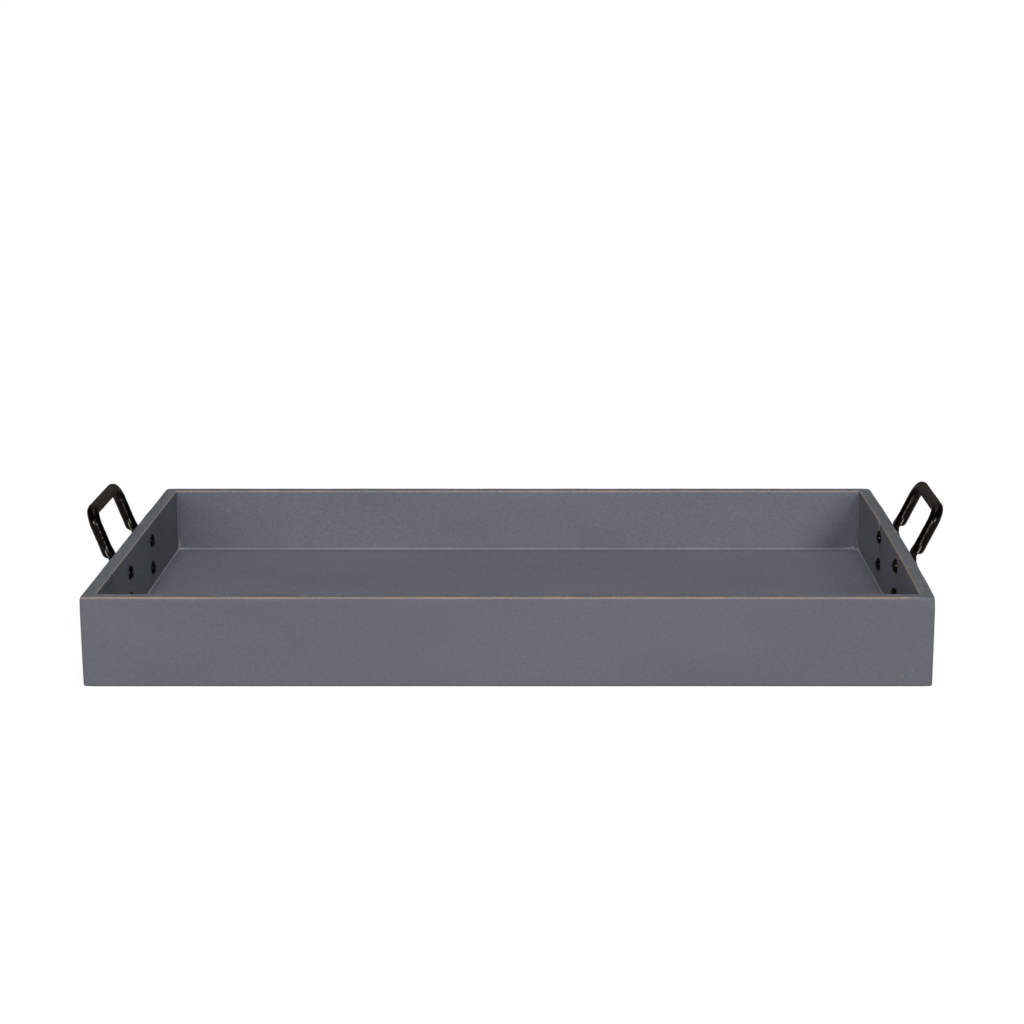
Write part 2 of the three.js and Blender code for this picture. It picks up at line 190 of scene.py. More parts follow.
def paintedPine(name, along, look=paintLook):
    material, tree = newMaterial(name)
    place = addNode(tree, "ShaderNodeTexCoord")
    stretch = [1 / look["grainStretch"] if i == along else 1.0 for i in range(3)]
    fibre = addNode(tree, "ShaderNodeMapping", {"Vector": place.outputs["Object"], "Scale": stretch})
    grain = addNode(tree, "ShaderNodeTexNoise", {
        "Vector": fibre.outputs[0], "Scale": 1 / look["grainWidth"], "Detail": 4.0, "Roughness": 0.6})
    cloud = addNode(tree, "ShaderNodeTexNoise", {
        "Vector": fibre.outputs[0], "Scale": 1 / look["cloudSize"], "Detail": 1.0})
    speck = addNode(tree, "ShaderNodeTexNoise", {
        "Vector": fibre.outputs[0], "Scale": 0.5 / look["speckSize"], "Detail": 2.0})
    # paint colour: clouds and streaks of grain, then thin places where the pores show lighter
    uneven = addNode(tree, "ShaderNodeMix", {
        0: look["grainShare"], 2: cloud.outputs["Fac"], 3: grain.outputs["Fac"]})
    darkest, lightest = look["toneRange"]
    tone = addNode(tree, "ShaderNodeMapRange", {
        "Value": uneven.outputs[0], "From Min": darkest, "From Max": lightest})
    streaked = addNode(tree, "ShaderNodeMix", {
        0: tone.outputs[0], 6: toLinear(look["paintDark"]), 7: toLinear(look["paintLight"])},
        data_type="RGBA")
    thinnest, thickest = look["speckFrom"]
    thin = addNode(tree, "ShaderNodeMapRange", {
        "Value": speck.outputs["Fac"], "From Min": thinnest, "From Max": thickest,
        "To Max": look["speckShare"]})
    painted = addNode(tree, "ShaderNodeMix", {
        0: thin.outputs[0], 6: streaked.outputs[2], 7: toLinear(look["undercoat"])}, data_type="RGBA")
    # upward faces of the rim take a less blue grey, with paler scuffs
    facing = addNode(tree, "ShaderNodeNewGeometry")
    upward = addNode(tree, "ShaderNodeSeparateXYZ", {0: facing.outputs["Normal"]})
    sloping, level = look["rimFrom"]
    rim = addNode(tree, "ShaderNodeMapRange", {
        "Value": upward.outputs["Z"], "From Min": sloping, "From Max": level, "To Max": look["rimShare"]})
    scuffs = addNode(tree, "ShaderNodeTexNoise", {
        "Vector": place.outputs["Object"], "Scale": 1 / look["scuffSize"], "Detail": 5.0, "Roughness": 0.7})
    firstScuff, fullScuff = look["scuffFrom"]
    scuffed = addNode(tree, "ShaderNodeMapRange", {
        "Value": scuffs.outputs["Fac"], "From Min": firstScuff, "From Max": fullScuff,
        "To Max": look["scuffShare"]})
    handled = addNode(tree, "ShaderNodeMix", {
        0: scuffed.outputs[0], 6: toLinear(look["rimGrey"]), 7: toLinear(look["undercoat"])},
        data_type="RGBA")
    rubbed = addNode(tree, "ShaderNodeMix", {
        0: rim.outputs[0], 6: painted.outputs[2], 7: handled.outputs[2]}, data_type="RGBA")
    # bare wood on the arrises, broken up by the fibres
    sanding = addNode(tree, "ShaderNodeAttribute", attribute_name="sanding")
    ragged = addNode(tree, "ShaderNodeMath", {
        0: grain.outputs["Fac"], 1: look["raggedness"], 2: sanding.outputs["Fac"]},
        operation="MULTIPLY_ADD")
    firstPale, fullPale = look["paleFrom"]
    pale = addNode(tree, "ShaderNodeMapRange", {
        "Value": ragged.outputs[0], "From Min": firstPale, "From Max": fullPale,
        "To Max": look["paleShare"]})
    firstBare, fullBare = look["bareFrom"]
    bare = addNode(tree, "ShaderNodeMapRange", {
        "Value": ragged.outputs[0], "From Min": firstBare, "From Max": fullBare})
    timber = addNode(tree, "ShaderNodeMix", {
        0: grain.outputs["Fac"], 6: toLinear(look["woodDark"]), 7: toLinear(look["wood"])},
        data_type="RGBA")
    paled = addNode(tree, "ShaderNodeMix", {
        0: pale.outputs[0], 6: rubbed.outputs[2], 7: toLinear(look["undercoat"])}, data_type="RGBA")
    worn = addNode(tree, "ShaderNodeMix", {
        0: bare.outputs[0], 6: paled.outputs[2], 7: timber.outputs[2]}, data_type="RGBA")
    chipped = addChips(tree, place.outputs["Object"], worn.outputs[2], look)
    satin, dull = look["roughness"]
    sheen = addNode(tree, "ShaderNodeMapRange", {
        "Value": cloud.outputs["Fac"], "From Min": 0.3, "From Max": 0.7, "To Min": satin, "To Max": dull})
    relief = addNode(tree, "ShaderNodeBump", {
        "Height": grain.outputs["Fac"], "Strength": look["grainBump"], "Distance": look["grainDepth"]})
    shader = addNode(tree, "ShaderNodeBsdfPrincipled", {
        "Base Color": chipped, "Roughness": sheen.outputs[0], "Normal": relief.outputs[0],
        "Specular IOR Level": look["shine"]})
    addNode(tree, "ShaderNodeOutputMaterial", {"Surface": shader.outputs[0]})
    return material


# Hand-forged iron under black lacquer: nearly black, reddish where the lacquer is thin, with small broken
# highlights on the hammer marks, and dulled to a dark brown grey where hands rub the grips.
ironLook = {
    "black": "#020202",
    "thin": "#0c0504",
    "rubbed": "#2f2a25",
    "highlightTint": "#ffeae2",
    "shine": 0.08,
    "lacquerSize": 5 * mm,
    "thinFrom": (0.48, 0.68),
    "pitSize": 2.4 * mm,
    "pitDepth": 0.035 * mm,
    "roughness": (0.16, 0.24),
    "rust": "#8f4d20",
    "chips": (),
    # hands rub the iron above this height, and this far from the grip's middle, where it fades out
    "gripLow": 100 * mm,
    "gripHalf": (42 * mm, 52 * mm),
    "rubbedRoughness": 0.7,
}


def forgedIron(name, look=ironLook):
    material, tree = newMaterial(name)
    place = addNode(tree, "ShaderNodeTexCoord")
    lacquer = addNode(tree, "ShaderNodeTexNoise", {
        "Vector": place.outputs["Object"], "Scale": 1 / look["lacquerSize"], "Detail": 5.0,
        "Roughness": 0.65})
    pits = addNode(tree, "ShaderNodeTexNoise", {
        "Vector": place.outputs["Object"], "Scale": 1 / look["pitSize"], "Detail": 3.0})
    firstThin, fullThin = look["thinFrom"]
    thin = addNode(tree, "ShaderNodeMapRange", {
        "Value": lacquer.outputs["Fac"], "From Min": firstThin, "From Max": fullThin})
    colour = addNode(tree, "ShaderNodeMix", {
        0: thin.outputs[0], 6: toLinear(look["black"]), 7: toLinear(look["thin"])}, data_type="RGBA")
    # hands rub the grips all round
    spot = addNode(tree, "ShaderNodeSeparateXYZ", {0: place.outputs["Object"]})
    reach = addNode(tree, "ShaderNodeMath", {0: spot.outputs["Y"]}, operation="ABSOLUTE")
    rubbedEnd, blackStart = look["gripHalf"]
    between = addNode(tree, "ShaderNodeMapRange", {
        "Value": reach.outputs[0], "From Min": rubbedEnd, "From Max": blackStart,
        "To Min": 1.0, "To Max": 0.0})
    high = addNode(tree, "ShaderNodeMath", {0: spot.outputs["Z"], 1: look["gripLow"]},
                   operation="GREATER_THAN")
    hand = addNode(tree, "ShaderNodeMath", {0: between.outputs[0], 1: high.outputs[0]}, operation="MULTIPLY")
    dulled = addNode(tree, "ShaderNodeMix", {
        0: hand.outputs[0], 6: colour.outputs[2], 7: toLinear(look["rubbed"])}, data_type="RGBA")
    chipped = addChips(tree, place.outputs["Object"], dulled.outputs[2], look)
    glossy, dull = look["roughness"]
    lustre = addNode(tree, "ShaderNodeMapRange", {
        "Value": lacquer.outputs["Fac"], "From Min": 0.35, "From Max": 0.65,
        "To Min": glossy, "To Max": dull})
    sheen = addNode(tree, "ShaderNodeMix", {
        0: hand.outputs[0], 2: lustre.outputs[0], 3: look["rubbedRoughness"]})
    relief = addNode(tree, "ShaderNodeBump", {
        "Height": pits.outputs["Fac"], "Distance": look["pitDepth"]})
    shader = addNode(tree, "ShaderNodeBsdfPrincipled", {
        "Base Color": chipped, "Roughness": sheen.outputs[0], "Normal": relief.outputs[0],
        "Specular IOR Level": look["shine"], "Specular Tint": toLinear(look["highlightTint"])})
    addNode(tree, "ShaderNodeOutputMaterial", {"Surface": shader.outputs[0]})
    return material


# Bright drawn steel wire, only seen if a joint is opened: fine lines along the wire.
wireLook = {
    "steel": "#a5a6a8",
    "steelDark": "#77797c",
    "lineSize": 0.2 * mm,
    "alongWire": (1.0, 0.03, 1.0),      # draws the lines out along the wire
    "roughness": 0.38,
}


def steelWire(name, look=wireLook):
    material, tree = newMaterial(name)
    place = addNode(tree, "ShaderNodeTexCoord")
    drawn = addNode(tree, "ShaderNodeMapping", {
        "Vector": place.outputs["Object"], "Scale": look["alongWire"]})
    lines = addNode(tree, "ShaderNodeTexNoise", {"Vector": drawn.outputs[0], "Scale": 1 / look["lineSize"]})
    colour = addNode(tree, "ShaderNodeMix", {
        0: lines.outputs["Fac"], 6: toLinear(look["steelDark"]), 7: toLinear(look["steel"])},
        data_type="RGBA")
    shader = addNode(tree, "ShaderNodeBsdfPrincipled", {
        "Base Color": colour.outputs[2], "Roughness": look["roughness"], "Metallic": 1.0})
    addNode(tree, "ShaderNodeOutputMaterial", {"Surface": shader.outputs[0]})
    return material


chips = {
    "front": (chip((330, -209, 9), (1.0, 1.0, 1.0), "wood", 0.35),
              chip((338, -209, 14.5), (0.9, 0.9, 0.9), "wood", 0.35),
              chip((337, -209, 9), (0.8, 0.8, 0.8), "wood", 0.35)),
    "left": (chip((-343.5, 69, 62), (2, 5, 1.6), "chipWood", 0.6),
             chip((-343.5, 58, 53.4), (2, 4.5, 1.2), "chipWood", 0.9),
             chip((-343.5, -57, 51.6), (2, 4.5, 1.3), "wood", 0.5),
             chip((-343.5, -62, 56), (2, 4, 1.8), "wood", 0.4)),
    "right": (chip((345.4, -44.7, 53.6), (2, 6, 1.5), "chipWood", 0.95),
              chip((345.4, 66, 67.9), (2, 5, 1.2), "chipWood", 0.8),
              chip((345.4, 68, 75), (2, 5, 1.5), "chipWood", 0.5),
              chip((345.4, 66, 48.2), (2, 5, 1.4), "chipWood", 0.7),
              chip((345.4, 67, 51.6), (2, 4, 1.2), "chipWood", 0.5),
              chip((355.8, 24, 77.3), (3, 9, 4), "undercoat", 0.6),
              chip((356, 4, 77.3), (2.5, 10, 4), "undercoat", 0.45)),
    "rivets": (chip((345, -59.5, 65.8), (1.8, 3.5, 1.7), "rust", 1.0),
               chip((345, -55, 44), (1.6, 3.5, 1.2), "rust", 0.6)),
}
# The boards share one paint; the rear and right boards are written lighter and the left board darker, as
# painted light and painted shade.
boardPaint = {
    "front": paintedPine("satinPaintOnFrontPine", 0, {
        **paintLook, "toneRange": (0.29, 0.71), "chips": chips["front"]}),
    # painted light: the rear board's paint is written lighter than the front's
    "rear": paintedPine("satinPaintOnRearPineWithPaintedLight", 0, {
        **paintLook, "paintDark": "#5e606c", "paintLight": "#797b87", "grainStretch": 3.5}),
    # painted shade: the left end board's paint is written darker than the front's
    "left": paintedPine("satinPaintOnLeftPineWithPaintedShade", 1, {
        **paintLook, "paintDark": "#53545d", "paintLight": "#71727b", "toneRange": (0.38, 0.62),
        "wood": "#b29270", "woodDark": "#8d7052", "chips": chips["left"]}),
    # painted light: the right end board's paint is written lighter than the front's
    "right": paintedPine("satinPaintOnRightPineWithPaintedLight", 1, {
        **paintLook, "paintDark": "#63636a", "paintLight": "#898993", "toneRange": (0.38, 0.62),
        "wood": "#b4895a", "woodDark": "#8f683c", "chips": chips["right"]}),
}
panelPaint = paintedPine("satinPaintOnPly", 0, {
    **paintLook, "paintDark": "#595b65", "paintLight": "#81838c", "rimShare": 0.0,
    "grainWidth": 0.7 * mm, "toneRange": (0.335, 0.665), "grainShare": 0.9})
fillerLook = {
    **paintLook, "rimShare": 0.0, "undercoat": "#c2beb8", "speckFrom": (0.6, 0.78), "speckShare": 0.3}
# painted highlight: the floor bead's filler is written paler than the paint, partly pale filler and partly
# the light caught along the floor joint
floorFillerWithPaintedHighlight = paintedPine("rubbedFillerWithPaintedHighlight", 0, {
    **fillerLook, "paintDark": "#7d7f89", "paintLight": "#92949e"})
cornerFiller = paintedPine("paintedFiller", 2, {
    **fillerLook, "paintDark": "#60616a", "paintLight": "#777882"})
ironFinish = forgedIron("lacqueredForgedIron")
rivetFinish = forgedIron("lacqueredRivetIron", {**ironLook, "shine": 0.13, "chips": chips["rivets"]})
wireFinish = steelWire("drawnSteelWire")
print("materials made")


# Boards: one frame is shaped whole, sanded, then sawn apart at the mitres

boards = {
    "arris": 1.5 * mm,
    "arrisSteps": 5,
    "grooveDepth": 6 * mm,
    "grooveFit": 0.3 * mm,
    "loopStep": 9 * mm,
    "nearArris": 3.2 * mm,     # a loop either side of each arris, where the sanding ends
    "sandingReach": 2.4 * mm,
    "sandingDepth": 0.3 * mm,
    "sandingLength": 35 * mm,
    "rubbing": 0.98,
    "patchiness": {"front": 0.14, "rear": 0.14, "left": 0.08, "right": 0.1},
    "paintedEnd": (332 * mm, 342 * mm),    # the front's right end is sanded less
    "paintedShare": 0.3,
    "patch": (0.5, 0.9),       # how deep the sanding goes, and how much that varies
    "innerShare": 0.6,         # the inner arris is sanded less deep
    "waviness": 0.12 * mm,
    "waveLength": 140 * mm,
    # how deep each outer corner is worn off
    "cornerWear": {(1, -1, 1): 1.8 * mm, (-1, -1, 1): 0.7 * mm, (1, 1, 1): 0.9 * mm, (-1, 1, 1): 0.9 * mm,
                   (-1, -1, -1): 0.5 * mm, (1, -1, -1): 0.4 * mm},
    "cornerReach": 3.4 * mm,
    # a split down from the right end's rim, through a rivet: its far side stands proud
    "split": {"y": 60 * mm, "bottom": 47 * mm, "taper": 12 * mm, "proud": 0.7 * mm, "fade": 14 * mm,
              "edge": 0.15 * mm, "loops": (-6, -0.5, 0.5), "rimGap": 16 * mm, "rimShare": 0.35,
              "bared": 0.66, "baredReach": 2 * mm, "liftedReach": 4 * mm},
    # how far each arris is sanded: outer top, inner top, outer bottom, inner bottom, upright corner
    "sanding": {
        "front": (1.05, 0.35, 0.25, 0.1, 0.35),
        "rear": (0.3, 1.02, 0.2, 0.1, 0.3),
        "left": (0.3, 1.0, 0.2, 0.1, 0.35),
        "right": (0.3, 1.04, 0.2, 0.1, 0.35),
    },
}
sides = {"front": (0, -1), "rear": (0, 1), "left": (-1, 0), "right": (1, 0)}


def frameRing():
    groove = (panelLow.z - boards["grooveFit"], panelHigh.z + boards["grooveFit"])
    inner = boardThick
    deep = boardThick - boards["grooveDepth"]
    section = [(0, 0), (0, rimHeight), (inner, rimHeight), (inner, groove[1]), (deep, groove[1]),
               (deep, groove[0]), (inner, groove[0]), (inner, 0)]
    ring = bmesh.new()
    corners = [(-1, -1), (1, -1), (1, 1), (-1, 1)]
    rows = [[ring.verts.new((cx * (halfLength - t), cy * (halfDepth - t), z)) for t, z in section]
            for cx, cy in corners]
    for row, following in zip(rows, rows[1:] + rows[:1]):
        for i in range(len(section)):
            j = (i + 1) % len(section)
            ring.faces.new((row[i], following[i], following[j], row[j]))
    rounded = []
    for edge in ring.edges:
        kinds = {min(halfLength - abs(v.co.x), halfDepth - abs(v.co.y)) for v in edge.verts}
        heights = {v.co.z for v in edge.verts}
        spread = max(kinds) - min(kinds)
        along = len(heights) == 1 and spread < 1e-6 and heights <= {0, rimHeight}
        upright = len(heights) == 2 and max(kinds) < 1e-6
        if along or upright:
            rounded.append(edge)
    bmesh.ops.recalc_face_normals(ring, faces=ring.faces)
    bmesh.ops.bevel(ring, geom=rounded, offset=boards["arris"], offset_type="OFFSET",
                    segments=boards["arrisSteps"], profile=0.5, affect="EDGES", clamp_overlap=False)
    return ring


def sawLoops(shape, axis, places):
    normal = Vector((0, 0, 0))
    normal[axis] = 1
    for place in places:
        everything = shape.verts[:] + shape.edges[:] + shape.faces[:]
        bmesh.ops.bisect_plane(shape, geom=everything, dist=1e-7, plane_co=normal * place, plane_no=normal)


def evenPlaces(low, high, step):
    count = max(2, round((high - low) / step))
    return [low + (high - low) * i / count for i in range(1, count)]


def sawnFrame():
    ring = frameRing()
    near = boards["nearArris"]
    for axis, reach in ((0, halfLength), (1, halfDepth)):
        rims = [reach - near, reach - boardThick + near]
        sawLoops(ring, axis, [sign * place for sign in (-1, 1) for place in rims])
        sawLoops(ring, axis, evenPlaces(-reach + boardThick, reach - boardThick, boards["loopStep"]))
    sawLoops(ring, 2, [near, rimHeight - near])
    sawLoops(ring, 2, evenPlaces(panelHigh.z + near, rimHeight - near, boards["loopStep"]))
    return ring


# the part of the frame between its two mitre planes, with the sawn ends closed
def boardBetweenMitres(ring, side):
    sx, sy = sides[side]
    board = ring.copy()
    for turn in (-1, 1):
        cornerX = sx if sx else turn
        cornerY = sy if sy else turn
        corner = Vector((cornerX * halfLength, cornerY * halfDepth, 0))
        outward = Vector((cornerX, -cornerY, 0)) if sy else Vector((-cornerX, cornerY, 0))
        everything = board.verts[:] + board.edges[:] + board.faces[:]
        cut = bmesh.ops.bisect_plane(board, geom=everything, dist=1e-6, plane_co=corner,
                                     plane_no=outward, clear_outer=True)
        edges = [e for e in cut["geom_cut"] if isinstance(e, bmesh.types.BMEdge)]
        bmesh.ops.edgenet_fill(board, edges=edges)
    bmesh.ops.recalc_face_normals(board, faces=board.faces)
    return board


def sandBoard(board, side):
    strengths = boards["sanding"][side]
    worn = []
    for vert in board.verts:
        x, y, z = vert.co
        tx, ty = halfLength - abs(x), halfDepth - abs(y)
        t = min(tx, ty)
        inward = Vector((0, 0, 0))
        if tx < ty + 1e-6:
            inward.x = -math.copysign(1, x)
        if ty < tx + 1e-6:
            inward.y = -math.copysign(1, y)
        distances = (math.hypot(t, rimHeight - z), math.hypot(boardThick - t, rimHeight - z),
                     math.hypot(t, z), math.hypot(boardThick - t, z), math.hypot(tx, ty))
        near = [max(0.0, 1 - d / boards["sandingReach"]) for d in distances]
        rubbing = boards["rubbing"] + boards["patchiness"][side] * wobble(x, y, z, boards["sandingLength"])
        if side == "front":
            rubbing -= boards["paintedShare"] * smooth(*boards["paintedEnd"], x)
        worn.append(rubbing * max(n * s for n, s in zip(near, strengths)))
        patchLevel, patchSwing = boards["patch"]
        patch = patchLevel + patchSwing * wobble(x, y, z, boards["sandingLength"])
        depth = boards["sandingDepth"] * max(0.0, patch)
        vert.co += inward * (depth * (near[0] - near[1] * boards["innerShare"]))
        vert.co.z -= depth * (near[0] + near[1] * boards["innerShare"])
        vert.co += inward * (boards["waviness"] * wobble(x, y, 0.0, boards["waveLength"]))
        for (sx, sy, sz), depth in boards["cornerWear"].items():
            away = Vector((halfLength - sx * x, halfDepth - sy * y, rimHeight - z if sz > 0 else z)).length
            bite = depth * math.exp(-(away / boards["cornerReach"]) ** 2)
            vert.co -= Vector((sx, sy, sz)).normalized() * bite
    return worn


# lifts the inner face on the far side of the split, and bares the wood of the step
def splitBoard(board, worn):
    split = boards["split"]
    for i, vert in enumerate(board.verts):
        x, y, z = vert.co
        beyond = y - split["y"]
        low = smooth(split["bottom"], split["bottom"] + split["taper"], z)
        if -split["rimGap"] < beyond < split["edge"] / 4 and z > rimHeight - boards["nearArris"]:
            worn[i] *= split["rimShare"]
        if abs(x - innerX) < split["baredReach"] and abs(beyond) < split["edge"]:
            worn[i] = max(worn[i], split["bared"] * low)
        if abs(x - innerX) < split["liftedReach"] and beyond > 0:
            vert.co.x -= split["proud"] * low * max(0.0, 1 - beyond / split["fade"])


def makeBoard(ring, side, material):
    board = boardBetweenMitres(ring, side)
    if side == "right":
        split = boards["split"]
        sawLoops(board, 1, [split["y"] + step * split["edge"] for step in split["loops"]])
    worn = sandBoard(board, side)
    if side == "right":
        splitBoard(board, worn)
        for vert in board.verts:
            vert.co.x += bowAt(vert.co.y)
    mesh = smoothMesh(side + "Board", board)
    mesh.attributes.new("sanding", "FLOAT", "POINT").data.foreach_set("value", worn)
    name = side + "Board" if side in ("front", "rear") else side + "EndBoard"
    node = side + "_board" if side in ("front", "rear") else side + "_end_board"
    settle(addPiece(name, mesh, material), "painted_wood", node)


wholeFrame = sawnFrame()
for side in sides:
    makeBoard(wholeFrame, side, boardPaint[side])
wholeFrame.free()
print("boards made")


# Base panel: one flat sheet in the boards' groove, never quite flat

panel = {"loopStep": 14 * mm, "waviness": 0.18 * mm, "waveLength": 110 * mm}


def makePanel():
    shape = bmesh.new()
    bmesh.ops.create_cube(shape, size=1.0)
    middle = (panelLow + panelHigh) / 2
    size = panelHigh - panelLow
    for vert in shape.verts:
        vert.co = Vector(c * s for c, s in zip(vert.co, size)) + middle
    sawLoops(shape, 0, evenPlaces(panelLow.x, panelHigh.x, panel["loopStep"]))
    sawLoops(shape, 1, evenPlaces(panelLow.y, panelHigh.y, panel["loopStep"]))
    for vert in shape.verts:
        vert.co.z += panel["waviness"] * wobble(vert.co.x, vert.co.y, 0.0, panel["waveLength"])
    piece = addPiece("basePanel", smoothMesh("basePanel", shape), panelPaint)
    settle(piece, "painted_panel", "base_panel")


makePanel()
print("base panel made")


# Bars swept along a path by geometry nodes: the handles and the beads of filler

# the inputs have the same names as the pieces' own values
def newTree(name, count, *sizes):
    tree = bpy.data.node_groups.new(name, "GeometryNodeTree")
    sockets = [("Geometry", "NodeSocketGeometry"), (count, "NodeSocketInt")]
    sockets += [(size, "NodeSocketFloat") for size in sizes] + [("finish", "NodeSocketMaterial")]
    for socket, kind in sockets:
        tree.interface.new_socket(socket, in_out="INPUT", socket_type=kind)
    tree.interface.new_socket("Geometry", in_out="OUTPUT", socket_type="NodeSocketGeometry")
    return tree, addNode(tree, "NodeGroupInput").outputs


def closeTree(tree, shape, finish):
    smoothed = addNode(tree, "GeometryNodeSetShadeSmooth", {"Geometry": shape})
    plain = addNode(tree, "GeometryNodeRealizeInstances", {"Geometry": smoothed.outputs[0]})
    finished = addNode(tree, "GeometryNodeSetMaterial", {"Geometry": plain.outputs[0], "Material": finish})
    addNode(tree, "NodeGroupOutput", {"Geometry": finished.outputs[0]})
    return tree


# the path's points carry: across and outward (directions), halfWidth, halfThick and edge (metres)
def sweepTree():
    tree, given = newTree("sweptBar", "sides", "dentSize", "dentDepth", "lumpSize", "lumpDepth", "seed")
    carried = {}
    for name, kind in (("middle", "FLOAT_VECTOR"), ("across", "FLOAT_VECTOR"), ("outward", "FLOAT_VECTOR"),
                       ("halfWidth", "FLOAT"), ("halfThick", "FLOAT"), ("edge", "FLOAT"), ("turn", "FLOAT")):
        carried[name] = addNode(tree, "GeometryNodeInputNamedAttribute", {"Name": name},
                                data_type=kind).outputs["Attribute"]
    path = addNode(tree, "GeometryNodeMeshToCurve", {"Mesh": given["Geometry"]})
    circle = addNode(tree, "GeometryNodeCurvePrimitiveCircle", {"Resolution": given["sides"], "Radius": mm})
    index = addNode(tree, "GeometryNodeInputIndex")
    half = addNode(tree, "ShaderNodeMath", {0: index.outputs[0], 1: 0.5}, operation="ADD")
    share = addNode(tree, "ShaderNodeMath", {0: half.outputs[0], 1: given["sides"]}, operation="DIVIDE")
    angle = addNode(tree, "ShaderNodeMath", {0: share.outputs[0], 1: math.tau}, operation="MULTIPLY")
    marked = addNode(tree, "GeometryNodeStoreNamedAttribute", {
        "Geometry": circle.outputs["Curve"], "Name": "turn", "Value": angle.outputs[0]},
        data_type="FLOAT", domain="POINT")
    tube = addNode(tree, "GeometryNodeCurveToMesh", {
        "Curve": path.outputs[0], "Profile Curve": marked.outputs[0], "Fill Caps": True})
    # rounded rectangle: each corner's arc stands out from the straight sides
    reaches = []
    for operation, size in (("COSINE", "halfWidth"), ("SINE", "halfThick")):
        swing = addNode(tree, "ShaderNodeMath", {0: carried["turn"]}, operation=operation)
        sign = addNode(tree, "ShaderNodeMath", {0: swing.outputs[0]}, operation="SIGN")
        flat = addNode(tree, "ShaderNodeMath", {0: carried[size], 1: carried["edge"]}, operation="SUBTRACT")
        arc = addNode(tree, "ShaderNodeMath", {0: swing.outputs[0], 1: carried["edge"]}, operation="MULTIPLY")
        reaches.append(addNode(tree, "ShaderNodeMath", {
            0: sign.outputs[0], 1: flat.outputs[0], 2: arc.outputs[0]}, operation="MULTIPLY_ADD"))
    sideways = addNode(tree, "ShaderNodeVectorMath", {0: carried["across"], "Scale": reaches[0].outputs[0]},
                       operation="SCALE")
    forward = addNode(tree, "ShaderNodeVectorMath", {0: carried["outward"], "Scale": reaches[1].outputs[0]},
                      operation="SCALE")
    offset = addNode(tree, "ShaderNodeVectorMath", {0: sideways.outputs[0], 1: forward.outputs[0]})
    where = addNode(tree, "ShaderNodeVectorMath", {0: carried["middle"], 1: offset.outputs[0]})
    shaped = addNode(tree, "GeometryNodeSetPosition", {
        "Geometry": tube.outputs[0], "Position": where.outputs[0]})
    # hammer dents and smaller lumps, along the surface's own normal
    position = addNode(tree, "GeometryNodeInputPosition")
    normal = addNode(tree, "GeometryNodeInputNormal")
    moved = addNode(tree, "ShaderNodeVectorMath", {0: position.outputs[0], 1: given["seed"]})
    pushes = []
    for kind, size, depth in (("ShaderNodeTexVoronoi", "dentSize", "dentDepth"),
                              ("ShaderNodeTexNoise", "lumpSize", "lumpDepth")):
        often = addNode(tree, "ShaderNodeMath", {0: 1.0, 1: given[size]}, operation="DIVIDE")
        pattern = addNode(tree, kind, {"Vector": moved.outputs[0], "Scale": often.outputs[0]})
        if kind == "ShaderNodeTexVoronoi":
            pattern.feature = "SMOOTH_F1"
        centred = addNode(tree, "ShaderNodeMath", {0: pattern.outputs[0], 1: 0.5}, operation="SUBTRACT")
        pushes.append(addNode(tree, "ShaderNodeMath", {0: centred.outputs[0], 1: given[depth]},
                              operation="MULTIPLY"))
    push = addNode(tree, "ShaderNodeMath", {0: pushes[0].outputs[0], 1: pushes[1].outputs[0]})
    along = addNode(tree, "ShaderNodeVectorMath", {0: normal.outputs[0], "Scale": push.outputs[0]},
                    operation="SCALE")
    hammered = addNode(tree, "GeometryNodeSetPosition", {
        "Geometry": shaped.outputs[0], "Offset": along.outputs[0]})
    return closeTree(tree, hammered.outputs[0], given["finish"])


# the tree's result becomes the object's own plain mesh
def runTree(piece, tree, values):
    modifier = piece.modifiers.new(tree.name, "NODES")
    modifier.node_group = tree
    for item in tree.interface.items_tree:
        if item.in_out == "INPUT" and item.name in values:
            modifier[item.identifier] = values[item.name]
    evaluated = piece.evaluated_get(bpy.context.evaluated_depsgraph_get())
    mesh = bpy.data.meshes.new_from_object(evaluated)
    piece.modifiers.remove(modifier)
    piece.data = mesh
    return piece


# stations: dicts with middle, across, outward, halfWidth, halfThick, edge, sanding; loops may be closed
def pathMesh(name, loops):
    points = [station for stations, closed in loops for station in stations]
    edges = []
    start = 0
    for stations, closed in loops:
        edges += [(start + i, start + i + 1) for i in range(len(stations) - 1)]
        if closed:
            edges.append((start + len(stations) - 1, start))
        start += len(stations)
    mesh = bpy.data.meshes.new(name)
    mesh.from_pydata([p["middle"] for p in points], edges, [])
    for key in ("middle", "across", "outward"):
        attribute = mesh.attributes.new(key, "FLOAT_VECTOR", "POINT")
        attribute.data.foreach_set("vector", [c for p in points for c in p[key]])
    for key in ("halfWidth", "halfThick", "edge", "sanding"):
        attribute = mesh.attributes.new(key, "FLOAT", "POINT")
        attribute.data.foreach_set("value", [p[key] for p in points])
    return mesh


barTree = sweepTree()

handles = {
    "bar": 10.8 * mm,
    "footWidth": 15 * mm,
    "footThick": 4.5 * mm,
    "footEdge": 1.4 * mm,
    "footTip": 10 * mm,
    "firstTip": 0.12 * mm,      # the round tip's first loop, then finer loops round it
    "tipStep": 0.5 * mm,
    "tipLoops": 16,
    "bendRadius": 14 * mm,
    "bendRise": 14 * mm,
    "shoulder": {"left": 12.2 * mm, "right": 14.0 * mm},
    "shoulderHollow": 4 * mm,
    "shoulderRound": 9 * mm,
    "flareRise": 25 * mm,
    "cornerRadius": 13 * mm,
    "gripRise": {"left": 56.8 * mm, "right": 57.9 * mm},
    "lean": {"left": 20.3, "right": 25.9},
    "facing": {"left": -1, "right": 1},
    "step": 0.8 * mm,
    "sides": 48,
    "dentSize": 8 * mm,
    "dentDepth": {"left": 0.35 * mm, "right": 0.15 * mm},     # the right one was planished smoother
    "lumpSize": 5 * mm,
    "lumpDepth": {"left": 0.45 * mm, "right": 0.2 * mm},
    "seed": {"left": -3.0, "right": 3.0},
}


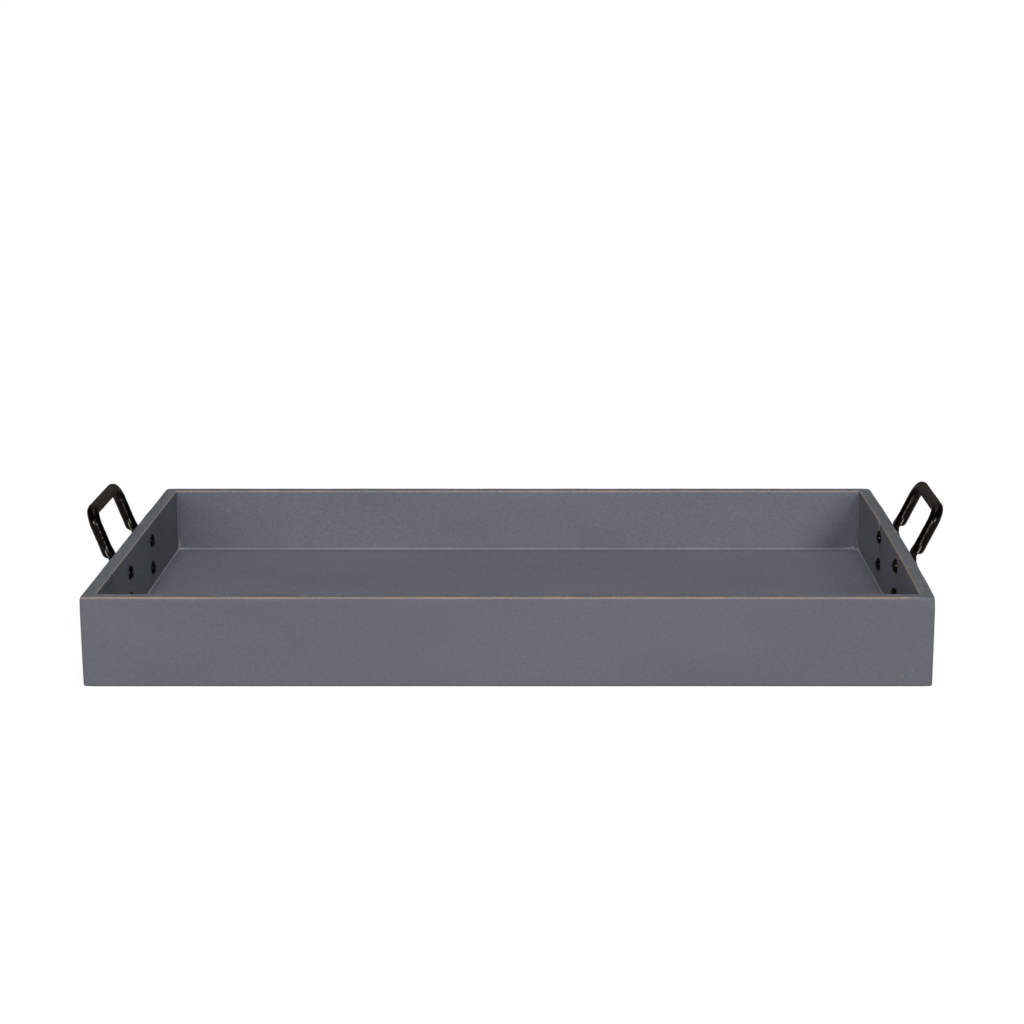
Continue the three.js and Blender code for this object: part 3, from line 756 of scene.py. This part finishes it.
# how far the bar has swollen above the foot: a hollow, then a round shoulder
def swellAt(above):
    hollow, roundness = handles["shoulderHollow"], handles["shoulderRound"]
    if above < 0:
        return (hollow - math.sqrt(hollow ** 2 - max(above + hollow, 0.0) ** 2)) / (hollow + roundness)
    return (hollow + math.sqrt(roundness ** 2 - max(roundness - above, 0.0) ** 2)) / (hollow + roundness)


# width, thickness and edge radius at a distance along the bar from the upper rivet
def barSize(end, rise, lowestRise):
    shoulder = handles["shoulder"][end]
    spread = smooth(shoulder, handles["flareRise"], rise)
    swell = swellAt(rise - shoulder)
    tip = min(max((rise - lowestRise) / (handles["footWidth"] / 2), 0.0), 1.0)
    rounding = math.sqrt(1 - (1 - tip) ** 2)
    width = (handles["footWidth"] + (handles["bar"] - handles["footWidth"]) * spread) * rounding
    thick = handles["footThick"] + (handles["bar"] - handles["footThick"]) * swell
    edge = handles["footEdge"] + (handles["bar"] / 2 - handles["footEdge"]) * swell
    return width / 2, thick / 2, min(edge, width / 2, thick / 2)


def handleStations(end):
    facing = handles["facing"][end]
    lean = math.radians(handles["lean"][end])
    upper = nodeMiddle(end + "_rivet_rear_upper")
    lower = nodeMiddle(end + "_rivet_rear_lower")
    low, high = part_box(end + "_handle")
    wall = high.x if facing < 0 else low.x
    legY = -abs(upper.y)
    lowest = -(upper.z - lower.z) - handles["footTip"]
    radius = handles["bendRadius"]
    bendStart = handles["bendRise"] - radius * math.tan(lean / 2)
    corner = handles["cornerRadius"]
    legTop = handles["gripRise"][end] - corner

    def leg(rise):
        along = rise - bendStart
        angle = min(max(along / radius, 0.0), lean)
        straight = along - angle * radius
        out = radius * (1 - math.cos(angle)) + straight * math.sin(angle)
        up = upper.z + bendStart + radius * math.sin(angle) + straight * math.cos(angle)
        ahead = Vector((facing * math.sin(angle), 0, math.cos(angle)))
        outward = Vector((facing * math.cos(angle), 0, -math.sin(angle)))
        return Vector((wall + facing * out, legY, up)), ahead, outward

    def station(middle, ahead, outward, sizes):
        across = outward.cross(ahead)
        return {"middle": middle, "across": across, "outward": outward,
                "halfWidth": sizes[0], "halfThick": sizes[1], "edge": sizes[2], "sanding": 0.0}

    half = []
    rises = [lowest + handles["firstTip"]]
    rises += [lowest + handles["tipStep"] * i for i in range(1, handles["tipLoops"])]
    steps = round((legTop - rises[-1]) / handles["step"])
    rises += [rises[-1] + (legTop - rises[-1]) * i / steps for i in range(1, steps + 1)]
    for rise in rises:
        wallSide, ahead, outward = leg(rise)
        sizes = barSize(end, rise, lowest)
        half.append(station(wallSide + outward * sizes[1], ahead, outward, sizes))
    wallSide, ahead, outward = leg(legTop)
    barSizes = barSize(end, legTop, lowest)
    top = wallSide + outward * barSizes[1]
    along = Vector((0, 1, 0))
    turns = round(corner * math.pi / 2 / handles["step"])
    for i in range(1, turns + 1):
        turn = math.pi / 2 * i / turns
        middle = top + ahead * (corner * math.sin(turn)) + along * (corner * (1 - math.cos(turn)))
        half.append(station(middle, ahead * math.cos(turn) + along * math.sin(turn), outward, barSizes))
    gripStart = top + ahead * corner + along * corner
    spans = round(-gripStart.y / handles["step"])
    for i in range(1, spans):
        half.append(station(gripStart + along * (-gripStart.y * i / spans), along, outward, barSizes))
    flip = Vector((1, -1, 1))
    return half + [{**s, "middle": s["middle"] * flip, "across": s["across"] * flip} for s in reversed(half)]


def makeHandle(end):
    stations = handleStations(end)
    piece = addPiece(end + "ForgedHandle", pathMesh(end + "HandlePath", [(stations, False)]))
    own = {key: handles[key][end] for key in ("dentDepth", "lumpDepth", "seed")}
    runTree(piece, barTree, {**handles, **own, "finish": ironFinish})
    settle(piece, "forged_iron", end + "_handle")
    print(piece.name, len(piece.data.polygons), "faces")


for end in handles["facing"]:
    makeHandle(end)


# Beads of paint and filler in the inside corners

beads = {
    "floorSize": 1.5 * mm,
    "cornerSize": 2.4 * mm,
    "unevenness": 0.2,
    "unevenLength": 40 * mm,
    "step": 5 * mm,
    # filler heaped in the rear corners: size and reach
    "heaps": {(1, 1): (3.6 * mm, 10 * mm), (-1, 1): (1.0 * mm, 26 * mm)},
    # paint missing in the rear left corner
    "bare": {"corner": (-1, 1), "sanding": 0.63, "reach": 24 * mm},
    # shares of a bead's size: its section, how far it stands out of the corner, and its directions' length
    "section": {"halfWidth": 0.55, "halfThick": 0.24, "edge": 0.23},
    "standOut": 0.3,
    "slant": 0.7,
    "topGap": 6 * mm,
    "topShare": 0.35,
    "topLoops": 3,
    "sides": 16,
    "dentSize": 9 * mm,
    "dentDepth": 0.12 * mm,
    "lumpSize": 2 * mm,
    "lumpDepth": 0.08 * mm,
    "seed": 7.0,
}


def floorCorner(sx, sy):
    return Vector((sx * innerX, sy * innerY, panelHigh.z))


# first and second are the directions out of the two faces that meet in the corner
def beadStation(point, first, second, size):
    middle = point + (first + second) * (size * beads["standOut"])
    bare = beads["bare"]
    near = math.exp(-((middle - floorCorner(*bare["corner"])).length / bare["reach"]) ** 2)
    first, second = first * beads["slant"], second * beads["slant"]
    return {"middle": middle, "across": first - second, "outward": first + second,
            "sanding": bare["sanding"] * near,
            **{key: size * share for key, share in beads["section"].items()}}


def beadSize(middle, base):
    uneven = 1 + beads["unevenness"] * 2 * wobble(*middle, beads["unevenLength"])
    size = base * uneven
    for (sx, sy), (height, reach) in beads["heaps"].items():
        size += height * math.exp(-((middle - floorCorner(sx, sy)).length / reach) ** 2)
    return size


def floorBead():
    corners = [floorCorner(sx, sy) for sx, sy in ((-1, -1), (1, -1), (1, 1), (-1, 1))]
    inwards = [Vector((0, 1, 0)), Vector((-1, 0, 0)), Vector((0, -1, 0)), Vector((1, 0, 0))]
    up = Vector((0, 0, 1))
    stations = []
    for k in range(4):
        start, stop = corners[k], corners[(k + 1) % 4]
        count = round((stop - start).length / beads["step"])
        for i in range(count):
            point = start.lerp(stop, i / count)
            inward = inwards[k] + (inwards[k - 1] if i == 0 else Vector((0, 0, 0)))
            if abs(point.x - innerX) < 1e-6:
                point.x += bowAt(point.y)
            stations.append(beadStation(point, inward, up, beadSize(point, beads["floorSize"])))
    return stations


def cornerBead(sx, sy):
    first, second = Vector((-sx, 0, 0)), Vector((0, -sy, 0))
    if sx != sy:
        first, second = second, first           # keeps the bead's faces looking out
    foot = floorCorner(sx, sy)
    top = rimHeight - beads["topGap"]
    count = round((top - foot.z) / beads["step"])
    stations = []
    for i in range(count + 1):
        point = Vector((foot.x, foot.y, foot.z + (top - foot.z) * i / count))
        fade = beads["topShare"] + (1 - beads["topShare"]) * smooth(0, beads["topLoops"], count - i)
        stations.append(beadStation(point, first, second, beadSize(point, beads["cornerSize"]) * fade))
    return stations


def makeBeads(name, loops, finish):
    piece = addPiece(name, pathMesh(name + "Path", loops))
    runTree(piece, barTree, {**beads, "finish": finish})
    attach(piece, "root")
    print(piece.name, len(piece.data.polygons), "faces")


makeBeads("floorBead", [(floorBead(), True)], floorFillerWithPaintedHighlight)
makeBeads("cornerBeads", [(cornerBead(sx, sy), False) for sx in (-1, 1) for sy in (-1, 1)], cornerFiller)


# Rivets: hammered heads, set out on points by geometry nodes

rivets = {
    "headRadius": 6.25 * mm,
    "headHeight": 3.2 * mm,
    "shankRadius": 2.75 * mm,
    "peenRadius": 4.75 * mm,
    "peenHeight": 1.5 * mm,
    "facetSize": 4.5 * mm,
    "facetDepth": 1.6 * mm,
    "facetLevel": 0.45,
    "raggedSize": 3.5 * mm,
    "raggedDepth": 3.0 * mm,
    "segments": 28,
    "rings": 16,
    "seed": 1.7,
}


def rivetTree():
    tree, given = newTree(
        "hammeredRivets", "segments", "headRadius", "headHeight", "peenRadius", "peenHeight", "shankRadius",
        "gripLength", "facetSize", "facetDepth", "raggedSize", "raggedDepth", "seed")
    position = addNode(tree, "GeometryNodeInputPosition")
    split = addNode(tree, "ShaderNodeSeparateXYZ", {0: position.outputs[0]})
    domes = []
    for radius, height in (("headRadius", "headHeight"), ("peenRadius", "peenHeight")):
        ball = addNode(tree, "GeometryNodeMeshUVSphere", {
            "Segments": given["segments"], "Rings": rivets["rings"], "Radius": 1.0})
        crown = addNode(tree, "ShaderNodeMath", {0: split.outputs["Z"], 1: 0.0}, operation="MAXIMUM")
        kept = addNode(tree, "GeometryNodeStoreNamedAttribute", {
            "Geometry": ball.outputs["Mesh"], "Name": "crown", "Value": crown.outputs[0]},
            data_type="FLOAT", domain="POINT")
        x = addNode(tree, "ShaderNodeMath", {0: split.outputs["X"], 1: given[radius]}, operation="MULTIPLY")
        y = addNode(tree, "ShaderNodeMath", {0: split.outputs["Y"], 1: given[radius]}, operation="MULTIPLY")
        z = addNode(tree, "ShaderNodeMath", {0: crown.outputs[0], 1: given[height]}, operation="MULTIPLY")
        place = addNode(tree, "ShaderNodeCombineXYZ", {0: x.outputs[0], 1: y.outputs[0], 2: z.outputs[0]})
        domes.append(addNode(tree, "GeometryNodeSetPosition", {
            "Geometry": kept.outputs[0], "Position": place.outputs[0]}))
    behind = addNode(tree, "ShaderNodeMath", {0: given["gripLength"], 1: -1.0}, operation="MULTIPLY")
    backSeat = addNode(tree, "ShaderNodeCombineXYZ", {2: behind.outputs[0]})
    peen = addNode(tree, "GeometryNodeTransform", {
        "Geometry": domes[1].outputs[0], "Translation": backSeat.outputs[0], "Rotation": (math.pi, 0, 0)})
    shank = addNode(tree, "GeometryNodeMeshCylinder", {
        "Vertices": given["segments"], "Radius": given["shankRadius"], "Depth": given["gripLength"]})
    halfway = addNode(tree, "ShaderNodeMath", {0: behind.outputs[0], 1: 0.5}, operation="MULTIPLY")
    midway = addNode(tree, "ShaderNodeCombineXYZ", {2: halfway.outputs[0]})
    pin = addNode(tree, "GeometryNodeTransform", {
        "Geometry": shank.outputs["Mesh"], "Translation": midway.outputs[0]})
    rivet = addNode(tree, "GeometryNodeJoinGeometry")
    for part in (domes[0], peen, pin):
        tree.links.new(part.outputs[0], rivet.inputs[0])
    aim = addNode(tree, "GeometryNodeInputNamedAttribute", {"Name": "aim"}, data_type="FLOAT_VECTOR")
    turn = addNode(tree, "FunctionNodeAlignRotationToVector", {"Vector": aim.outputs["Attribute"]}, axis="Z")
    placed = addNode(tree, "GeometryNodeInstanceOnPoints", {
        "Points": given["Geometry"], "Instance": rivet.outputs[0], "Rotation": turn.outputs[0]})
    loose = addNode(tree, "GeometryNodeRealizeInstances", {"Geometry": placed.outputs[0]})
    # hammer facets, only on the crowns
    crowned = addNode(tree, "GeometryNodeInputNamedAttribute", {"Name": "crown"}, data_type="FLOAT")
    normal = addNode(tree, "GeometryNodeInputNormal")
    moved = addNode(tree, "ShaderNodeVectorMath", {0: position.outputs[0], 1: given["seed"]})
    often = addNode(tree, "ShaderNodeMath", {0: 1.0, 1: given["facetSize"]}, operation="DIVIDE")
    facets = addNode(tree, "ShaderNodeTexVoronoi", {"Vector": moved.outputs[0], "Scale": often.outputs[0]})
    centred = addNode(tree, "ShaderNodeMath", {0: facets.outputs[0], 1: rivets["facetLevel"]},
                      operation="SUBTRACT")
    depth = addNode(tree, "ShaderNodeMath", {0: centred.outputs[0], 1: given["facetDepth"]},
                    operation="MULTIPLY")
    push = addNode(tree, "ShaderNodeMath", {0: depth.outputs[0], 1: crowned.outputs["Attribute"]},
                   operation="MULTIPLY")
    along = addNode(tree, "ShaderNodeVectorMath", {0: normal.outputs[0], "Scale": push.outputs[0]},
                    operation="SCALE")
    hammered = addNode(tree, "GeometryNodeSetPosition", {
        "Geometry": loose.outputs[0], "Offset": along.outputs[0]})
    # ragged outlines, within the plane of the board
    rarely = addNode(tree, "ShaderNodeMath", {0: 1.0, 1: given["raggedSize"]}, operation="DIVIDE")
    torn = addNode(tree, "ShaderNodeTexNoise", {
        "Vector": moved.outputs[0], "Scale": rarely.outputs[0], "Detail": 1.0})
    middled = addNode(tree, "ShaderNodeVectorMath", {0: torn.outputs["Color"], 1: (0.5, 0.5, 0.5)},
                      operation="SUBTRACT")
    inPlane = addNode(tree, "ShaderNodeVectorMath", {0: middled.outputs[0], 1: (0.0, 1.0, 1.0)},
                      operation="MULTIPLY")
    sideways = addNode(tree, "ShaderNodeVectorMath", {0: inPlane.outputs[0], "Scale": given["raggedDepth"]},
                       operation="SCALE")
    ragged = addNode(tree, "GeometryNodeSetPosition", {
        "Geometry": hammered.outputs[0], "Offset": sideways.outputs[0]})
    return closeTree(tree, ragged.outputs[0], given["finish"])


def makeRivets():
    nodes = sorted(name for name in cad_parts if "_rivet_" in name)
    points, aims = [], []
    for node in nodes:
        low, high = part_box(node)
        middle = (low + high) / 2
        inward = 1 if middle.x < 0 else -1
        crown = high.x if inward > 0 else low.x
        points.append((crown - inward * rivets["headHeight"], middle.y, middle.z))
        aims += [inward, 0, 0]
    mesh = bpy.data.meshes.new("rivetPoints")
    mesh.from_pydata(points, [], [])
    mesh.attributes.new("aim", "FLOAT_VECTOR", "POINT").data.foreach_set("vector", aims)
    low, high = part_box(nodes[0])
    gripLength = high.x - low.x - rivets["headHeight"] - rivets["peenHeight"]
    piece = addPiece("hammeredRivets", mesh)
    runTree(piece, rivetTree(), {**rivets, "gripLength": gripLength, "finish": rivetFinish})
    settle(piece, "forged_iron", *nodes)
    print(piece.name, len(piece.data.polygons), "faces")


makeRivets()

for name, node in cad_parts.items():
    if "_brad_" in name:
        node.data.materials.clear()
        node.data.materials.append(wireFinish)


# Floor, light and camera

studio = {
    "floorWidth": 500.0,
    "floorColour": "#616161",
    "floorGlow": (0.93, 1.0),        # beside the tray and far off; only the camera and reflections see it
    "glowReach": (0.7, 1.6),
    "worldColour": "#ffffff",
    "worldStrength": 0.06,
    "aim": (0, 0, 0.03),
    # name: place (metres), power (watts), width and height (metres)
    "lamps": {
        "overheadSoftbox": ((0.0, 0.0, 5.0), 116, (3.0, 3.0)),
        "frontLeftSoftbox": ((-1.485, -4.571, 1.378), 92, (2.2, 2.2)),
        "frontRightSoftbox": ((1.617, -4.442, 1.628), 102, (0.9, 0.9)),
        "backSoftbox": ((0.0, 4.8, 1.2), 60, (2.0, 2.0)),
        "leftPanel": ((-1.49, -4.0, 0.92), 150, (1.6, 0.5)),
        "rightPanel": ((1.7, -3.95, 0.92), 150, (1.6, 0.5)),
    },
    "noGlare": ("backSoftbox",),                # lights the back without glaring off the rims
    "onlyGlare": ("leftPanel", "rightPanel"),   # show in gloss alone, mostly the lacquer's
}


# white paper: it takes the tray's shadow, and its own glow keeps it white without lighting the tray
def makeFloor():
    half = studio["floorWidth"] / 2
    mesh = bpy.data.meshes.new("paperFloor")
    mesh.from_pydata([(-half, -half, 0), (half, -half, 0), (half, half, 0), (-half, half, 0)], [],
                     [(0, 1, 2, 3)])
    material, tree = newMaterial("whitePaper")
    place = addNode(tree, "ShaderNodeTexCoord")
    distance = addNode(tree, "ShaderNodeVectorMath", {0: place.outputs["Object"]}, operation="LENGTH")
    near, far = studio["glowReach"]
    nearGlow, farGlow = studio["floorGlow"]
    glow = addNode(tree, "ShaderNodeMapRange", {
        "Value": distance.outputs["Value"], "From Min": near, "From Max": far, "To Min": nearGlow,
        "To Max": farGlow})
    rays = addNode(tree, "ShaderNodeLightPath")
    seen = addNode(tree, "ShaderNodeMath", {
        0: rays.outputs["Is Camera Ray"], 1: rays.outputs["Is Glossy Ray"]}, operation="MAXIMUM")
    shown = addNode(tree, "ShaderNodeMath", {
        0: seen.outputs[0], 1: rays.outputs["Is Transmission Ray"]}, operation="MAXIMUM")
    strength = addNode(tree, "ShaderNodeMath", {0: shown.outputs[0], 1: glow.outputs[0]},
                       operation="MULTIPLY")
    paper = addNode(tree, "ShaderNodeBsdfDiffuse", {"Color": toLinear(studio["floorColour"])})
    light = addNode(tree, "ShaderNodeEmission", {"Strength": strength.outputs[0]})
    both = addNode(tree, "ShaderNodeAddShader", {0: paper.outputs[0], 1: light.outputs[0]})
    addNode(tree, "ShaderNodeOutputMaterial", {"Surface": both.outputs[0]})
    addPiece("paperFloor", mesh, material)


def makeLamps():
    for name, (place, power, size) in studio["lamps"].items():
        lamp = bpy.data.lights.new(name, "AREA")
        lamp.shape = "RECTANGLE"
        lamp.size, lamp.size_y = size
        lamp.energy = power
        lampObject = bpy.data.objects.new(name, lamp)
        lampObject.location = place
        aim = Vector(studio["aim"]) - Vector(place)
        lampObject.rotation_euler = aim.to_track_quat("-Z", "Y").to_euler()
        lampObject.visible_camera = False
        lampObject.visible_glossy = name not in studio["noGlare"]
        lampObject.visible_diffuse = name not in studio["onlyGlare"]
        bpy.context.scene.collection.objects.link(lampObject)
    world = bpy.data.worlds.new("studioRoom")
    world.use_nodes = True
    world.node_tree.nodes.clear()
    room = addNode(world.node_tree, "ShaderNodeBackground", {
        "Color": toLinear(studio["worldColour"]), "Strength": studio["worldStrength"]})
    addNode(world.node_tree, "ShaderNodeOutputWorld", {"Surface": room.outputs[0]})
    bpy.context.scene.world = world


view = {
    "place": (0.0501, -2.0018, 0.5680),
    "tiltDown": 13.117,
    "focalPixels": 2239.1,
    "imagePixels": 1024,
    "middlePixel": 567.7,    # where the lens axis meets the picture
    "sensor": 36.0,
}


def makeCamera():
    camera = bpy.data.cameras.new("photoCamera")
    camera.sensor_width = view["sensor"]
    camera.lens = view["focalPixels"] * view["sensor"] / view["imagePixels"]
    camera.shift_x = (view["imagePixels"] / 2 - view["middlePixel"]) / view["imagePixels"]
    cameraObject = bpy.data.objects.new("photoCamera", camera)
    cameraObject.location = view["place"]
    cameraObject.rotation_euler = (math.radians(90 - view["tiltDown"]), 0, 0)
    bpy.context.scene.collection.objects.link(cameraObject)
    bpy.context.scene.camera = cameraObject


makeFloor()
makeLamps()
makeCamera()
bpy.context.scene.view_settings.view_transform = "Standard"
print("studio made")
